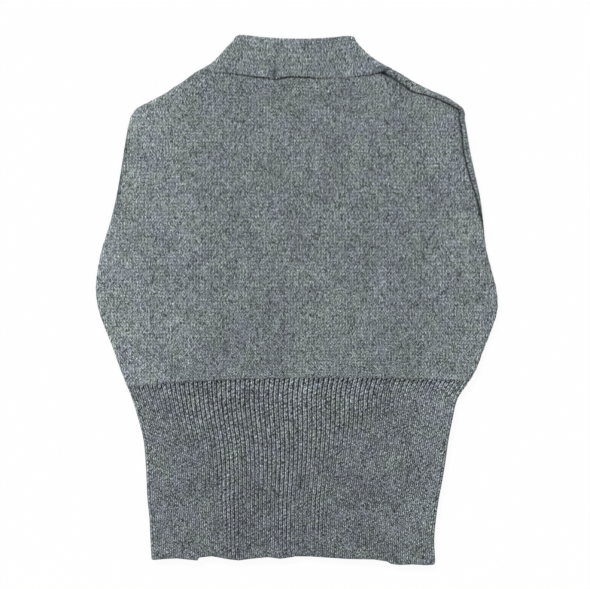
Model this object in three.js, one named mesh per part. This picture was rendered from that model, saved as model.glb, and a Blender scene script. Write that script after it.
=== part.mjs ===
// A knitted pullover for a cat, lying flat on its front with its back uppermost.
//
// It is a tube of plain knit that widens at the arms, with a long ribbed lower part, a doubled
// band round the neck and a narrow band round each armhole. The frame is in millimetres: X runs
// across the garment, Y from hem to neck, Z up, and the origin is on the surface it lies on,
// under the middle of its outline.
//
// Every piece lies on one flattened tube. A place on the tube near a side edge is given by its
// height y up the garment and by e, the distance along the cloth from the outermost point of
// that edge: e is above zero on the back, which is uppermost, and below zero on the front.
import * as THREE from 'three';

// Thicknesses of the cloth, and the clearances, in mm.
const jerseyWall = 2.0;
const ribWall = 2.6;
const collarWall = 3.2; // two layers of knit, folded at the top edge
const armbandWall = 1.8;
const seamGap = 0.3;
const rowGap = 0.3; // half the gap between two pieces' rows, which narrows where they arch

// The armhole bands: their width, the slit that they leave, and where they end.
const armbandWidth = 4.7;
const slitHalf = 0.25;
const cutoutRadius = armbandWidth + 0.6; // the gap narrows towards the inside of the edge's bend
const armholeTop = 117;
const armholeBottom = 42;

// A row arches between places this far in from its ends, by this power of the way across.
const archStart = 6;
const archPower = 2.2;

// The two heights at which one piece ends and the next begins.
const ribLine = -54.2;
const neckLine = 147.7;

// How finely the pieces are divided.
const edgeSteps = 7; // from inside the panel to its seam, round the side edge
const hingeSteps = 5; // round the side edge of the collar
const acrossBack = 10;
const acrossFront = 8;
const acrossCollar = 11;
const bandAcross = 4;
const bandAlong = 12;
const bandEndSteps = 6;

// Sections from hem to collar top. left and right are the outline's two sides at height y.
// A section's row climbs by tilt from left to right, and its middle stands above its ends by
// backRise on the back and frontRise on the front. edge is the middle of the back's wall above
// the surface at the side edges, and crown is how much higher it stands in the middle.
const sections = [
  { y: -167.0, left: -93.3, right: 88.4, tilt: -1.2, backRise: 0.0, frontRise: 0.6, edge: 4.3, crown: 0.1 },
  { y: -154.3, left: -94.0, right: 87.6, tilt: 0.0, backRise: 0.0, frontRise: 0.0, edge: 4.3, crown: 0.2 },
  { y: -141.4, left: -94.6, right: 88.8, tilt: 0.0, backRise: 0.0, frontRise: 0.0, edge: 4.3, crown: 0.3 },
  { y: -128.6, left: -95.9, right: 90.8, tilt: 0.0, backRise: 0.0, frontRise: 0.0, edge: 4.3, crown: 0.4 },
  { y: -115.8, left: -96.5, right: 93.3, tilt: 0.0, backRise: 0.2, frontRise: 0.2, edge: 4.3, crown: 0.4 },
  { y: -103.0, left: -97.2, right: 95.3, tilt: 0.4, backRise: 0.5, frontRise: 0.5, edge: 4.3, crown: 0.4 },
  { y: -90.1, left: -98.5, right: 97.2, tilt: 1.0, backRise: 1.0, frontRise: 1.0, edge: 4.3, crown: 0.4 },
  { y: -77.3, left: -101.7, right: 99.8, tilt: 1.8, backRise: 1.8, frontRise: 1.8, edge: 4.3, crown: 0.4 },
  { y: -64.5, left: -105.5, right: 103.0, tilt: 2.8, backRise: 2.8, frontRise: 2.8, edge: 4.3, crown: 0.3 },
  { y: ribLine, left: -109.6, right: 109.2, tilt: 3.6, backRise: 3.8, frontRise: 3.8, edge: 4.3, crown: 0.2 },
  { y: -45.2, left: -113.2, right: 114.5, tilt: 1.6, backRise: 2.0, frontRise: 2.0, edge: 4.2, crown: 0.5 },
  { y: -32.4, left: -117.7, right: 120.3, tilt: 0.4, backRise: 0.6, frontRise: 0.6, edge: 4.0, crown: 0.9 },
  { y: -19.6, left: -122.8, right: 125.4, tilt: 0.0, backRise: 0.0, frontRise: 0.0, edge: 4.0, crown: 1.1 },
  { y: -6.7, left: -127.3, right: 129.2, tilt: 0.0, backRise: 0.0, frontRise: 0.0, edge: 4.0, crown: 1.2 },
  { y: 6.1, left: -129.2, right: 128.6, tilt: 0.0, backRise: 0.0, frontRise: 0.0, edge: 4.0, crown: 1.2 },
  { y: 18.9, left: -128.0, right: 125.4, tilt: 0.0, backRise: 0.0, frontRise: 0.0, edge: 4.0, crown: 1.2 },
  { y: 31.8, left: -125.4, right: 122.2, tilt: 0.0, backRise: 0.0, frontRise: 0.0, edge: 4.0, crown: 1.2 },
  { y: 46.0, left: -121.0, right: 120.6, tilt: 0.0, backRise: 0.0, frontRise: 0.0, edge: 4.0, crown: 1.2 },
  { y: 63.8, left: -116.4, right: 118.4, tilt: 0.0, backRise: 0.0, frontRise: 0.0, edge: 4.0, crown: 1.2 },
  { y: 83.0, left: -113.0, right: 114.5, tilt: 0.0, backRise: 0.0, frontRise: -0.5, edge: 4.0, crown: 1.2 },
  { y: 102.3, left: -110.0, right: 110.7, tilt: 0.0, backRise: 0.0, frontRise: -1.5, edge: 4.0, crown: 1.2 },
  { y: 115.1, left: -107.5, right: 108.1, tilt: 0.0, backRise: -0.8, frontRise: -3.0, edge: 4.0, crown: 1.1 },
  { y: 121.6, left: -104.2, right: 107.4, tilt: 0.0, backRise: -1.6, frontRise: -4.5, edge: 4.0, crown: 1.0 },
  { y: 125.4, left: -98.5, right: 104.2, tilt: 0.2, backRise: -2.2, frontRise: -6.0, edge: 4.1, crown: 1.0 },
  { y: 130.5, left: -88.2, right: 95.9, tilt: 0.4, backRise: -3.1, frontRise: -8.0, edge: 4.2, crown: 0.8 },
  { y: 135.7, left: -79.9, right: 83.7, tilt: 0.7, backRise: -4.0, frontRise: -10.0, edge: 4.5, crown: 0.6 },
  { y: 140.8, left: -72.2, right: 74.1, tilt: 1.1, backRise: -4.8, frontRise: -12.0, edge: 4.9, crown: 0.4 },
  { y: neckLine, left: -62.2, right: 62.6, tilt: 1.6, backRise: -5.6, frontRise: -14.0, edge: 5.2, crown: 0.1 },
  { y: 151.3, left: -55.7, right: 55.5, tilt: 0.8, backRise: -5.0, frontRise: -13.2, edge: 5.2, crown: 0.0 },
  { y: 156.2, left: -50.2, right: 47.9, tilt: 0.0, backRise: -4.2, frontRise: -12.0, edge: 5.2, crown: 0.0 },
  { y: 161.5, left: -45.6, right: 42.1, tilt: -0.2, backRise: -3.2, frontRise: -10.8, edge: 5.2, crown: 0.0 },
  { y: 166.0, left: -41.2, right: 38.3, tilt: -0.5, backRise: -2.4, frontRise: -9.8, edge: 5.2, crown: 0.0 },
  { y: 169.4, left: -39.0, right: 37.2, tilt: -0.8, backRise: -2.0, frontRise: -9.0, edge: 5.2, crown: 0.0 },
];

// The bottom edge of the back, which waves a little and steps once near the left corner.
const hemLine = [
  { x: -87.5, y: -167.4 },
  { x: -77.0, y: -166.6 },
  { x: -64.0, y: -167.7 },
  { x: -63.0, y: -166.0 },
  { x: -54.5, y: -165.0 },
  { x: -37.1, y: -167.5 },
  { x: -18.5, y: -165.4 },
  { x: -10.6, y: -166.2 },
  { x: 2.9, y: -163.7 },
  { x: 9.3, y: -164.9 },
  { x: 32.4, y: -166.1 },
  { x: 49.7, y: -166.4 },
  { x: 60.0, y: -168.6 },
  { x: 66.0, y: -169.8 },
  { x: 74.7, y: -169.6 },
  { x: 83.0, y: -169.9 },
];

// Where the seam between back and front runs, as e, at heights up the garment. On the right
// shoulder the front comes over the edge on to the back; elsewhere the seams lie underneath.
const seams = [
  { y: -170.0, left: -6.0, right: -4.0 },
  { y: 36.0, left: -6.0, right: -4.2 },
  { y: 114.0, left: -5.0, right: 1.5 },
  { y: 121.6, left: -5.0, right: 3.2 },
  { y: 130.5, left: -5.0, right: 4.0 },
  { y: 135.7, left: -5.0, right: 5.9 },
  { y: 140.8, left: -5.0, right: 5.9 },
  { y: neckLine, left: -5.0, right: 4.4 },
];

// Where the slit of each armhole runs, as e.
const slits = [
  { y: armholeBottom, left: -5.4, right: -4.4 },
  { y: 56.0, left: -3.6, right: -2.9 },
  { y: 65.0, left: -3.1, right: -2.2 },
  { y: 81.0, left: -3.1, right: -0.5 },
  { y: 98.0, left: -3.1, right: 0.0 },
  { y: 109.0, left: -4.0, right: -1.2 },
  { y: armholeTop, left: -5.0, right: -0.6 },
];

// The largest folds of the back: soft ridges that run up the cloth, from one end to the other.
const folds = [
  { x: -43.0, lean: -0.02, from: -175, to: -84, halfWidth: 9, height: 1.0 },
  { x: -8.0, lean: -0.01, from: -175, to: -86, halfWidth: 7, height: 0.8 },
  { x: 14.0, lean: 0.0, from: -162, to: -112, halfWidth: 6, height: 0.6 },
  { x: 69.0, lean: 0.02, from: -110, to: -74, halfWidth: 6, height: 0.6 },
  { x: -104.0, lean: 0.0, from: -34, to: 60, halfWidth: 14, height: 0.7 },
  { x: 96.0, lean: -0.05, from: -26, to: 52, halfWidth: 13, height: 0.5 },
];

const knit = (colour, roughness) => new THREE.MeshStandardMaterial({ color: colour, roughness, metalness: 0 });
const jerseyGrey = 0x71797a;
const ribGrey = 0x666d71;
const collarGrey = 0x7b8486;

// A column of a table at height y, in straight lines between its rows.
function lookUp(table, key, column, at) {
  const last = table.length - 1;
  if (at <= table[0][key]) return table[0][column];
  if (at >= table[last][key]) return table[last][column];
  const next = table.findIndex((row) => row[key] >= at);
  const [low, high] = [table[next - 1], table[next]];
  const share = (at - low[key]) / (high[key] - low[key]);
  return low[column] + share * (high[column] - low[column]);
}

// The outline's x at height y on one side, and how fast it changes, on a smooth cubic curve
// through the sections.
function outlineAt(side, y) {
  const last = sections.length - 1;
  const rateAt = (i) => {
    const [low, high] = [sections[Math.max(i - 1, 0)], sections[Math.min(i + 1, last)]];
    return (high[side] - low[side]) / (high.y - low.y);
  };
  const above = sections.findIndex((row) => row.y >= y);
  const next = above < 0 ? last : Math.max(above, 1);
  const [low, high] = [sections[next - 1], sections[next]];
  const span = high.y - low.y;
  const t = (y - low.y) / span;
  const [start, end] = [rateAt(next - 1) * span, rateAt(next) * span];
  const rise = high[side] - low[side];
  const x = low[side] + start * t + (3 * rise - 2 * start - end) * t * t + (start + end - 2 * rise) * t ** 3;
  const rate = (start + 2 * (3 * rise - 2 * start - end) * t + 3 * (start + end - 2 * rise) * t * t) / span;
  return { x, rate };
}

// The shape of the side edge at height y: the middle radius of its half-round, the height of
// that half-round's centre, and how far its ends are from the outermost point along the cloth.
function edgeShape(y, wall) {
  const radius = (lookUp(sections, 'y', 'edge', y) - wall / 2) / 2;
  return { radius, centre: wall / 2 + radius, bend: (Math.PI * radius) / 2 };
}

// How far a row's point at x stands above a straight row. side is 1 on the back, -1 on the
// front and between the two round the edge.
function arch(y, x, side) {
  const left = outlineAt('left', y).x + archStart;
  const right = outlineAt('right', y).x - archStart;
  const across = Math.min(Math.max((2 * (x - left)) / (right - left) - 1, -1), 1);
  const [front, back] = [lookUp(sections, 'y', 'frontRise', y), lookUp(sections, 'y', 'backRise', y)];
  return (front + ((back - front) * (1 + side)) / 2) * (1 - Math.abs(across) ** archPower);
}

// A point of the tube beside a side edge. off is its distance out of the middle of the wall.
// Rows stay level, so where the outline slants, they cross its rounded edge at that slant.
function edgePoint(side, y, e, off, wall) {
  const { x, rate } = outlineAt(side, y);
  const { radius, centre, bend } = edgeShape(y, wall);
  const turn = Math.min(Math.max(e, -bend), bend) / radius;
  const beyond = Math.max(Math.abs(e) - bend, 0);
  const inward = radius + wall / 2 - (radius + off) * Math.cos(turn) + beyond;
  const z = centre + (radius + off) * Math.sin(turn);
  const place = x + (side === 'left' ? 1 : -1) * Math.hypot(1, rate) * inward;
  return new THREE.Vector3(place, y + arch(y, place, Math.sin(turn)), z);
}

// How far the cut-out for the armhole band reaches from its slit at height y, or less than zero
// past its ends.
function cutoutReach(y) {
  const past = Math.max(y - armholeTop, armholeBottom - y, 0);
  return past < cutoutRadius ? Math.sqrt(cutoutRadius ** 2 - past ** 2) : -1;
}

// Where a panel ends beside a side edge: at the seam, or at the armhole band where there is one.
function cutEdge(side, y, facing) {
  const seam = lookUp(seams, 'y', side, y) + (facing * seamGap) / 2;
  const reach = cutoutReach(y);
  if (reach < 0) return seam;
  const band = lookUp(slits, 'y', side, y) + facing * reach;
  return facing > 0 ? Math.max(seam, band) : Math.min(seam, band);
}

// How far the back's folds and its crown lift it at a point. across runs from 0 to 1.
function backLift(x, y, across) {
  let lift = lookUp(sections, 'y', 'crown', y) * (1 - (2 * across - 1) ** 4);
  for (const fold of folds) {
    const middle = (fold.from + fold.to) / 2;
    const aside = (x - fold.x - fold.lean * (y - middle)) / fold.halfWidth;
    const along = (y - middle) / (fold.to - middle);
    if (Math.abs(aside) < 1 && Math.abs(along) < 1) {
      lift += fold.height * (1 - aside ** 2) ** 2 * (1 - along ** 2);
    }
  }
  return lift;
}

// The points of a row at height y between two ends, with the ends left out. shares lists how
// far along each one is, and facing is 1 on the back and -1 on the front.
function rowBetween(from, to, shares, y, facing) {
  return shares.map((share) => {
    const point = from.clone().lerp(to, share);
    point.y = y.from + (y.to - y.from) * share;
    point.y += arch(point.y, point.x, facing);
    return point;
  });
}

const evenly = (count) => Array.from({ length: count - 1 }, (unused, i) => (i + 1) / count);

// A closed wall from two grids of points, its outer and its inner face. Each grid is a list of
// rows; with loop set, each row closes on itself. From outside, rows run up and columns to the
// right.
function wallFromGrids(outer, inner, loop) {
  const [rows, columns] = [outer.length, outer[0].length];
  const grids = [outer, inner];
  const position = grids.flat(2).flatMap((point) => [point.x, point.y, point.z]);
  const at = (face, row, column) => face * rows * columns + row * columns + (column % columns);
  const index = [];
  const quad = (a, b, c, d) => index.push(a, b, c, a, c, d);
  const across = loop ? columns : columns - 1;
  for (let column = 0; column < across; column += 1) {
    for (let row = 0; row < rows - 1; row += 1) {
      quad(at(0, row, column), at(0, row, column + 1), at(0, row + 1, column + 1), at(0, row + 1, column));
      quad(at(1, row, column), at(1, row + 1, column), at(1, row + 1, column + 1), at(1, row, column + 1));
    }
    const top = rows - 1;
    quad(at(1, 0, column), at(1, 0, column + 1), at(0, 0, column + 1), at(0, 0, column));
    quad(at(0, top, column), at(0, top, column + 1), at(1, top, column + 1), at(1, top, column));
  }
  for (let row = 0; row < rows - 1 && !loop; row += 1) {
    const end = columns - 1;
    quad(at(1, row, 0), at(0, row, 0), at(0, row + 1, 0), at(1, row + 1, 0));
    quad(at(0, row, end), at(1, row, end), at(1, row + 1, end), at(0, row + 1, end));
  }
  const geometry = new THREE.BufferGeometry();
  geometry.setAttribute('position', new THREE.Float32BufferAttribute(position, 3));
  geometry.setIndex(index);
  geometry.computeVertexNormals();
  return geometry;
}

// The heights of a panel's rows: its sections, and for the body the round ends of the armholes.
function rowHeights(from, to, withArmholes) {
  const heights = sections.map((row) => row.y).filter((y) => y >= from && y <= to);
  const ends = [0, 30, 60, 90].map((degrees) => cutoutRadius * Math.sin((degrees * Math.PI) / 180));
  const extra = withArmholes ? ends.flatMap((past) => [armholeBottom - past, armholeTop + past]) : [];
  const apart = extra.filter((y) => heights.every((other) => Math.abs(other - y) > 0.2));
  return [...heights, ...apart].sort((a, b) => a - b);
}

// One row of a panel, from its seam on one side to its seam on the other, round both edges.
// facing is 1 for the back and -1 for the front, and shift moves the row up or down the cloth.
function panelRow(y, facing, wall, off, shift, shares, hem) {
  const tilt = lookUp(sections, 'y', 'tilt', y);
  const ends = { from: y - tilt / 2, to: y + tilt / 2 };
  const strip = (side, height) => {
    const { bend } = edgeShape(height, wall);
    const cut = cutEdge(side, height, facing) * facing;
    const start = Math.max(bend, cut) + 1.5;
    return Array.from({ length: edgeSteps + 1 }, (unused, i) => {
      const e = start + ((cut - start) * i) / edgeSteps;
      return edgePoint(side, height, facing * e, off, wall);
    });
  };
  const left = strip('left', ends.from);
  const right = strip('right', ends.to);
  const middle = rowBetween(left[0], right[0], shares, ends, facing);
  middle.forEach((point, i) => {
    if (facing > 0) point.z += backLift(point.x, point.y, shares[i]);
    if (hem) point.y = lookUp(hemLine, 'x', 'y', point.x) + hem;
  });
  const row = [...left.reverse(), ...middle, ...right];
  row.forEach((point) => { point.y += shift; });
  return facing > 0 ? row : row.reverse();
}

// A panel of the back or the front between two heights.
function panel(facing, wall, from, to, shares, withArmholes, hem) {
  const heights = rowHeights(from, to, withArmholes);
  const grid = (off) => heights.map((y, i) => {
    const last = heights.length - 1;
    const shift = (i === 0 && !hem ? rowGap : 0) - (i === last ? rowGap : 0);
    return panelRow(y, facing, wall, off, shift, shares, i === 0 ? hem : 0);
  });
  return wallFromGrids(grid(wall / 2), grid(-wall / 2), false);
}

// The collar: a doubled band in one loop, across the back, round the right edge, across the
// front and round the left edge.
function collar() {
  const shares = evenly(acrossCollar);
  const heights = rowHeights(neckLine, Infinity, false);
  const row = (y, off, shift) => {
    const tilt = lookUp(sections, 'y', 'tilt', y);
    const ends = { from: y - tilt / 2, to: y + tilt / 2 };
    const turn = (side, height) => {
      const { bend } = edgeShape(height, collarWall);
      return Array.from({ length: hingeSteps + 1 }, (unused, i) => {
        return edgePoint(side, height, bend * (1 - (2 * i) / hingeSteps), off, collarWall);
      });
    };
    const left = turn('left', ends.from);
    const right = turn('right', ends.to);
    const back = rowBetween(left[0], right[0], shares, ends, 1);
    const otherWay = { from: ends.to, to: ends.from };
    const front = rowBetween(right[hingeSteps], left[hingeSteps], shares, otherWay, -1);
    const loop = [...back, ...right, ...front, ...left.reverse()];
    loop.forEach((point) => { point.y += shift; });
    return loop;
  };
  const grid = (off) => heights.map((y, i) => row(y, off, i === 0 ? rowGap : 0));
  return wallFromGrids(grid(collarWall / 2), grid(-collarWall / 2), true);
}

// An armhole band: a loop round the slit, with half-round ends, lying on the tube's edge.
function armband(side) {
  const loop = [];
  for (let i = 0; i <= bandAlong; i += 1) {
    loop.push({ y: armholeBottom + ((armholeTop - armholeBottom) * i) / bandAlong, angle: 0 });
  }
  for (let i = 1; i < bandEndSteps; i += 1) loop.push({ y: armholeTop, angle: (Math.PI * i) / bandEndSteps });
  for (let i = bandAlong; i >= 0; i -= 1) {
    loop.push({ y: armholeBottom + ((armholeTop - armholeBottom) * i) / bandAlong, angle: Math.PI });
  }
  for (let i = 1; i < bandEndSteps; i += 1) {
    loop.push({ y: armholeBottom, angle: Math.PI * (1 + i / bandEndSteps) });
  }
  if (side === 'left') loop.reverse();
  const grid = (off) => Array.from({ length: bandAcross + 1 }, (unused, i) => {
    const reach = slitHalf + ((armbandWidth - slitHalf) * i) / bandAcross;
    return loop.map(({ y, angle }) => {
      const height = y + reach * Math.sin(angle);
      const e = lookUp(slits, 'y', side, height) + reach * Math.cos(angle);
      return edgePoint(side, height, e, off, armbandWall + 2 * (jerseyWall - armbandWall) / 2);
    });
  });
  return wallFromGrids(grid(armbandWall / 2), grid(-armbandWall / 2), true);
}

// The columns of the ribbed back stand where its hem turns.
const leftHem = sections[0].left + 6;
const rightHem = sections[0].right - 6;
const hemShares = hemLine.map((point) => (point.x - leftHem) / (rightHem - leftHem)).slice(1, -1);

const garment = new THREE.Group();
const add = (name, geometry, colour, roughness) => {
  const mesh = new THREE.Mesh(geometry, knit(colour, roughness));
  mesh.name = name;
  garment.add(mesh);
};

add('back_body', panel(1, jerseyWall, ribLine, neckLine, evenly(acrossBack), true, 0), jerseyGrey, 0.95);
add('front_body', panel(-1, jerseyWall, ribLine, neckLine, evenly(acrossFront), true, 0), jerseyGrey, 0.95);
add('back_rib', panel(1, ribWall, -Infinity, ribLine, hemShares, false, 0.001), ribGrey, 0.95);
add('front_rib', panel(-1, ribWall, -Infinity, ribLine, hemShares, false, 0.7), ribGrey, 0.95);
add('collar', collar(), collarGrey, 0.95);
add('armhole_band_left', armband('left'), jerseyGrey, 0.95);
add('armhole_band_right', armband('right'), jerseyGrey, 0.95);

export default garment;
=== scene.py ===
"""A knitted cat pullover that lies flat on its front, seen from straight above.

Every piece lies on one flattened tube. A place on the cloth is given by x, where it would be if
the cloth ran on flat past the garment's side edges, and by its height y up the garment. The
function `on_tube` bends the cloth round the side edges. Lengths are in millimetres until a mesh
is written, which is in metres.
"""

import bpy
import numpy as np
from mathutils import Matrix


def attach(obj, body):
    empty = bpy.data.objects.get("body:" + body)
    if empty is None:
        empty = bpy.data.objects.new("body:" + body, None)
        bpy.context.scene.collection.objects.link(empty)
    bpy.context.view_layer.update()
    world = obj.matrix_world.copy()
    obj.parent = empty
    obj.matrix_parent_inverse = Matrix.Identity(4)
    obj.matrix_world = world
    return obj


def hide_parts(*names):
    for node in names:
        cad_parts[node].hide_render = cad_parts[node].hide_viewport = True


bl_info = {
    "name": "Cat pullover",
    "version": (1, 0, 0),
    "blender": (4, 5, 0),
    "location": "View3D > Sidebar > Garment",
    "description": "Knits the panels, rib, neck band and armhole bands of a cat pullover laid flat",
    "category": "Add Mesh",
}

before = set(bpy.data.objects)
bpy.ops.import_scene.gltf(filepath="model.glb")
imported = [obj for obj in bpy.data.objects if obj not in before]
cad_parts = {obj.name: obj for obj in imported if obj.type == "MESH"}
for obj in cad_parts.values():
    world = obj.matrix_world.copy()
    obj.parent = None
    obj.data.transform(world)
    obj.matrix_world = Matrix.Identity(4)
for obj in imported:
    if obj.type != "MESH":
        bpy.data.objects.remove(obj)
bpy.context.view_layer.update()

MM = 0.001
BACK, FRONT = 1, -1


# ---------------------------------------------------------------------------------------------
# The garment's sizes, in mm
# ---------------------------------------------------------------------------------------------


def table(columns, *rows):
    """A table as one array for each named column."""
    return dict(zip(columns.split(), np.array(rows, float).T, strict=True))


JERSEY_WALL, RIB_WALL, COLLAR_WALL, BAND_WALL = 2.0, 2.6, 3.2, 1.8
SEAM_GAP, NECK_GAP = 0.3, 0.08  # between back and front, and between them and the neck band
BAND_WIDTH, SLIT_HALF = 4.7, 0.2
ARMHOLE_BOTTOM, ARMHOLE_TOP = 42.0, 117.0
RIB_LINE, NECK_LINE = -54.2, 147.7
ARCH_START, ARCH_POWER = 6.0, 2.2

# left and right are the outline's sides at height y. A row climbs by tilt from left to right,
# and its middle stands above its ends by back_rise or front_rise. edge is the height of the
# back's wall at the side edges, and crown is how much higher it stands in the middle.
SECTIONS = table(
    "y left right tilt back_rise front_rise edge crown",
    (-167.0, -93.3, 89.1, -1.2, 0.0, 0.6, 4.3, 0.1),
    (-154.3, -94.0, 88.6, 0.0, 0.0, 0.0, 4.3, 0.2),
    (-141.4, -94.6, 89.7, 0.0, 0.0, 0.0, 4.3, 0.3),
    (-128.6, -95.9, 91.5, 0.0, 0.0, 0.0, 4.3, 0.4),
    (-115.8, -96.5, 93.9, 0.0, 0.2, 0.2, 4.3, 0.4),
    (-103.0, -97.2, 96.0, 0.4, 0.5, 0.5, 4.3, 0.4),
    (-90.1, -98.5, 97.8, 1.0, 1.0, 1.0, 4.3, 0.4),
    (-77.3, -101.7, 100.3, 1.8, 1.8, 1.8, 4.3, 0.4),
    (-64.5, -105.5, 103.4, 2.8, 2.8, 2.8, 4.3, 0.3),
    (RIB_LINE, -109.6, 110.0, 3.6, 3.8, 3.8, 4.3, 0.2),
    (-45.2, -113.2, 115.4, 1.6, 2.0, 2.0, 4.2, 0.5),
    (-32.4, -117.7, 120.3, 0.4, 0.6, 0.6, 4.0, 0.9),
    (-19.6, -122.8, 125.4, 0.0, 0.0, 0.0, 4.0, 1.1),
    (-6.7, -127.3, 129.2, 0.0, 0.0, 0.0, 4.0, 1.2),
    (6.1, -129.2, 128.6, 0.0, 0.0, 0.0, 4.0, 1.2),
    (18.9, -128.0, 125.4, 0.0, 0.0, 0.0, 4.0, 1.2),
    (31.8, -125.4, 122.2, 0.0, 0.0, 0.0, 4.0, 1.2),
    (46.0, -121.0, 120.6, 0.0, 0.0, 0.0, 4.0, 1.2),
    (63.8, -116.4, 118.4, 0.0, 0.0, 0.0, 4.0, 1.2),
    (83.0, -113.0, 114.5, 0.0, 0.0, -0.5, 4.0, 1.2),
    (102.3, -110.0, 110.7, 0.0, 0.0, -1.5, 4.0, 1.2),
    (115.1, -107.5, 108.5, 0.0, -0.8, -3.0, 4.0, 1.1),
    (121.6, -104.2, 107.8, 0.0, -1.6, -4.5, 4.0, 1.0),
    (125.4, -98.5, 104.2, 0.2, -2.2, -6.0, 4.1, 1.0),
    (130.5, -88.2, 95.9, 0.4, -3.1, -8.0, 4.2, 0.8),
    (135.7, -79.9, 83.7, 0.7, -4.0, -10.0, 4.5, 0.6),
    (140.8, -72.2, 74.1, 1.1, -4.8, -12.0, 4.9, 0.4),
    (NECK_LINE, -62.2, 62.6, 1.6, -5.6, -14.0, 5.2, 0.1),
    (151.3, -55.7, 55.5, 0.8, -5.0, -13.2, 5.2, 0.0),
    (156.2, -50.2, 47.9, 0.0, -4.2, -12.0, 5.2, 0.0),
    (161.5, -45.6, 42.1, -0.2, -3.2, -10.8, 5.2, 0.0),
    (166.0, -41.2, 38.3, -0.5, -2.4, -9.8, 5.2, 0.0),
    (169.4, -39.0, 37.2, -0.8, -2.0, -9.0, 5.2, 0.0),
)

# The bottom edge of the back, which waves a little and steps once near the left corner.
HEM = table(
    "x y",
    (-93.0, -167.9),
    (-87.5, -167.3),
    (-77.0, -166.6),
    (-63.4, -167.8),
    (-62.9, -166.0),
    (-54.5, -165.0),
    (-43.9, -166.8),
    (-37.1, -167.6),
    (-29.2, -166.5),
    (-18.5, -165.4),
    (-10.6, -166.3),
    (-2.2, -165.2),
    (2.9, -163.7),
    (9.3, -164.9),
    (32.4, -166.2),
    (49.7, -166.4),
    (58.1, -167.7),
    (60.5, -169.2),
    (66.0, -169.9),
    (74.7, -169.5),
    (83.0, -169.9),
    (88.4, -169.6),
)

# Where the seam between back and front runs, as a distance round the side edge from its
# outermost point: above zero on the back, below zero underneath.
SEAMS = table(
    "y left right",
    (-170.0, -6.0, -4.0),
    (36.0, -6.0, -4.2),
    (114.0, -5.0, 1.5),
    (121.6, -5.0, 3.6),
    (130.5, -5.0, 4.5),
    (135.7, -5.0, 5.0),
    (140.8, -5.0, 4.9),
    (NECK_LINE, -5.0, 4.4),
)

# Where the slit of each armhole runs, in the same way.
SLITS = table(
    "y left right",
    (ARMHOLE_BOTTOM, -5.4, -4.4),
    (56.0, -3.6, -2.9),
    (65.0, -3.1, -2.2),
    (81.0, -3.1, -0.5),
    (98.0, -3.1, 0.0),
    (109.0, -4.0, -1.2),
    (ARMHOLE_TOP, -5.0, -0.6),
)

# Soft ridges that run up the cloth, each from one height to another.
FOLDS = table(
    "x lean low high half_width height",
    (-43.0, -0.02, -175, -84, 9, 1.0),
    (-8.0, -0.01, -175, -86, 7, 0.8),
    (14.0, 0.0, -162, -112, 6, 0.6),
    (69.0, 0.02, -110, -74, 6, 0.6),
    (-104.0, 0.0, -34, 60, 14, 0.7),
    (96.0, -0.05, -26, 52, 13, 0.5),
)

# Places where the ribs stand out as crisply low down as they do at their top.
CRISP_RIBS = table(
    "x lean low high half_width strength",
    (-42.5, -0.06, -172, -88, 8.5, 0.75),
    (-7.5, -0.03, -170, -88, 6.5, 0.6),
    (14.0, 0.0, -160, -116, 5.5, 0.6),
    (69.0, 0.0, -106, -78, 4.5, 0.5),
    (-70.0, 0.0, -100, -60, 9.0, 0.15),
)

RIBS_ACROSS = 73
WALE, COURSE = 1.91, 2.32  # the width and height of a stitch of the plain knit
RIB_COURSE = 2.48


def curve(name, y, source=SECTIONS):
    """A column of a table at heights y: a cubic between rows, with its rate of change.

    Each row's slope is the straight slope between the rows on either side of it.
    """
    at, values = source["y"], source[name]
    slope = np.gradient(values) / np.gradient(at)
    y = np.clip(y, at[0], at[-1])
    i = np.clip(np.searchsorted(at, y) - 1, 0, len(at) - 2)
    span = at[i + 1] - at[i]
    t = (y - at[i]) / span
    start, end, rise = slope[i] * span, slope[i + 1] * span, values[i + 1] - values[i]
    square, cube = 3 * rise - 2 * start - end, start + end - 2 * rise
    value = values[i] + start * t + square * t**2 + cube * t**3
    return value, (start + 2 * square * t + 3 * cube * t**2) / span


def level(name, y, source=SECTIONS):
    """A column of a table at heights y, without its rate of change."""
    return curve(name, y, source)[0]


def soft_step(low, high, value):
    """0 below low, 1 above high, and a smooth cubic between them."""
    t = np.clip((value - low) / (high - low), 0, 1)
    return t * t * (3 - 2 * t)


def ridges(rows, x, y, height):
    """The sum of soft ridges: each is a bell across its middle line and a dome along it."""
    total = np.zeros(np.broadcast(x, y).shape)
    for i in range(len(rows["x"])):
        middle = (rows["low"][i] + rows["high"][i]) / 2
        aside = (x - rows["x"][i] - rows["lean"][i] * (y - middle)) / rows["half_width"][i]
        along = np.clip((y - middle) / (rows["high"][i] - middle), -1, 1)
        total += rows[height][i] * np.clip(1 - aside**2, 0, 1) ** 2 * (1 - along**4)
    return total


def ripple(x, y):
    """The cloth's faint unevenness in mm: three waves that cross at different slants."""
    return (
        0.16 * np.sin(x / 8.3 + y / 17.0 + 0.6)
        + 0.14 * np.sin(x / 15.1 - y / 11.3 + 2.1)
        + 0.12 * np.sin(x / 21.0 + y / 26.0 + 4.0)
    )


def arch(y, x, side):
    """How far a row's point at x stands above a straight row.

    It is the row's rise times one less a power of the way across. side is 1 on the back, -1 on
    the front and between the two round an edge.
    """
    left, right = level("left", y) + ARCH_START, level("right", y) - ARCH_START
    across = np.clip(2 * (x - left) / (right - left) - 1, -1, 1)
    front, back = level("front_rise", y), level("back_rise", y)
    return (front + (back - front) * (1 + side) / 2) * (1 - np.abs(across) ** ARCH_POWER)


def edge_shape(y, wall):
    """The side edge's middle radius, the height of its centre, and its quarter turn's length."""
    radius = (level("edge", y) - wall / 2) / 2
    return radius, wall / 2 + radius, np.pi * radius / 2


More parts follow.
